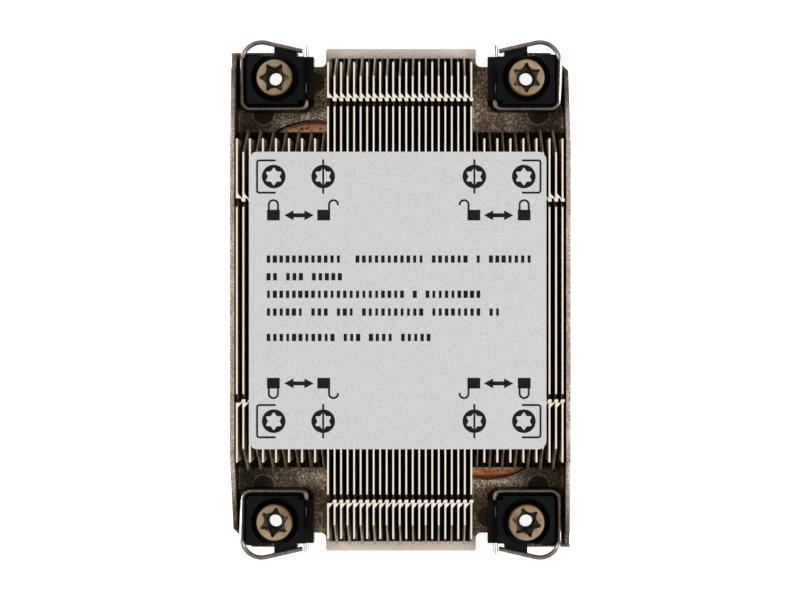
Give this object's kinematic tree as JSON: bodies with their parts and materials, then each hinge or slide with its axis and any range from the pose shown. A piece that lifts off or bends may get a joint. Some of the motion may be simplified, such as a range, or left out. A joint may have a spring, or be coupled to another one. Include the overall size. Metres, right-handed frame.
{
  "type": "passive server processor heatsink",
  "caption": "Low passive heatsink for a server processor, with zipped fins on a cast base, bent heat pipes, captive corner nuts and swinging anti-tilt wires.",
  "frame": {"origin": "centre of the contact pad's lower face, which is the bottom of the whole part", "axes": "+Z away from the processor, +Y along the fins and the airflow, +X across the fins"},
  "size_m": [0.078, 0.1206, 0.0255],
  "materials": {
    "cast_base": "as-cast, nickel-plated, satin",
    "copper_pipe": "bare copper, satin",
    "fin_sheet": "nickel-plated sheet, satin",
    "label_film": "silver-grey printed film, satin",
    "black_moulding": "moulded, fine grain",
    "tan_moulding": "turned engineering plastic, satin",
    "spring_steel": "drawn wire, bright"
  },
  "bodies": {
    "heatsink": {"base_plate": "cast_base", "heat_pipe_left": "copper_pipe", "heat_pipe_right": "copper_pipe", "label": "label_film", "long_fin_01": "fin_sheet", "long_fin_02": "fin_sheet", "long_fin_03": "fin_sheet", "long_fin_04": "fin_sheet", "long_fin_05": "fin_sheet", "long_fin_06": "fin_sheet", "long_fin_07": "fin_sheet", "long_fin_08": "fin_sheet", "long_fin_09": "fin_sheet", "long_fin_10": "fin_sheet", "long_fin_11": "fin_sheet", "long_fin_12": "fin_sheet", "long_fin_13": "fin_sheet", "long_fin_14": "fin_sheet", "long_fin_15": "fin_sheet", "long_fin_16": "fin_sheet", "long_fin_17": "fin_sheet", "long_fin_18": "fin_sheet", "long_fin_19": "fin_sheet", "long_fin_20": "fin_sheet", "long_fin_21": "fin_sheet", "long_fin_22": "fin_sheet", "long_fin_23": "fin_sheet", "fin_pair_left_1": "fin_sheet", "fin_pair_left_2": "fin_sheet", "fin_pair_left_3": "fin_sheet", "fin_pair_left_4": "fin_sheet", "fin_pair_left_5": "fin_sheet", "fin_pair_left_6": "fin_sheet", "fin_pair_left_7": "fin_sheet", "fin_pair_right_1": "fin_sheet", "fin_pair_right_2": "fin_sheet", "fin_pair_right_3": "fin_sheet", "fin_pair_right_4": "fin_sheet", "fin_pair_right_5": "fin_sheet", "fin_pair_right_6": "fin_sheet", "fin_pair_right_7": "fin_sheet", "nut_housing_front_right": "black_moulding", "nut_housing_front_left": "black_moulding", "nut_housing_rear_right": "black_moulding", "nut_housing_rear_left": "black_moulding"},
    "nut_front_right": {"captive_nut_front_right": "tan_moulding"},
    "wire_front_right": {"anti_tilt_wire_front_right": "spring_steel"},
    "nut_front_left": {"captive_nut_front_left": "tan_moulding"},
    "wire_front_left": {"anti_tilt_wire_front_left": "spring_steel"},
    "nut_rear_right": {"captive_nut_rear_right": "tan_moulding"},
    "wire_rear_right": {"anti_tilt_wire_rear_right": "spring_steel"},
    "nut_rear_left": {"captive_nut_rear_left": "tan_moulding"},
    "wire_rear_left": {"anti_tilt_wire_rear_left": "spring_steel"}
  },
  "joints": [
    {"name": "nut_spin_front_right", "type": "hinge", "parent": "heatsink", "child": "nut_front_right", "pos_m": [0.029, -0.0512, 0.008], "axis": [0, 0, 1], "continuous": true},
    {"name": "nut_spin_front_left", "type": "hinge", "parent": "heatsink", "child": "nut_front_left", "pos_m": [-0.029, -0.0512, 0.008], "axis": [0, 0, 1], "continuous": true},
    {"name": "nut_spin_rear_right", "type": "hinge", "parent": "heatsink", "child": "nut_rear_right", "pos_m": [0.029, 0.0512, 0.008], "axis": [0, 0, 1], "continuous": true},
    {"name": "nut_spin_rear_left", "type": "hinge", "parent": "heatsink", "child": "nut_rear_left", "pos_m": [-0.029, 0.0512, 0.008], "axis": [0, 0, 1], "continuous": true},
    {"name": "wire_swing_front_right", "type": "hinge", "parent": "heatsink", "child": "wire_front_right", "pos_m": [0.0219, -0.0512, 0.008], "axis": [0, -1, 0], "range_deg": [0, 90]},
    {"name": "wire_swing_front_left", "type": "hinge", "parent": "heatsink", "child": "wire_front_left", "pos_m": [-0.0219, -0.0512, 0.008], "axis": [0, 1, 0], "range_deg": [0, 90]},
    {"name": "wire_swing_rear_right", "type": "hinge", "parent": "heatsink", "child": "wire_rear_right", "pos_m": [0.0219, 0.0512, 0.008], "axis": [0, -1, 0], "range_deg": [0, 90]},
    {"name": "wire_swing_rear_left", "type": "hinge", "parent": "heatsink", "child": "wire_rear_left", "pos_m": [-0.0219, 0.0512, 0.008], "axis": [0, 1, 0], "range_deg": [0, 90]}
  ]
}
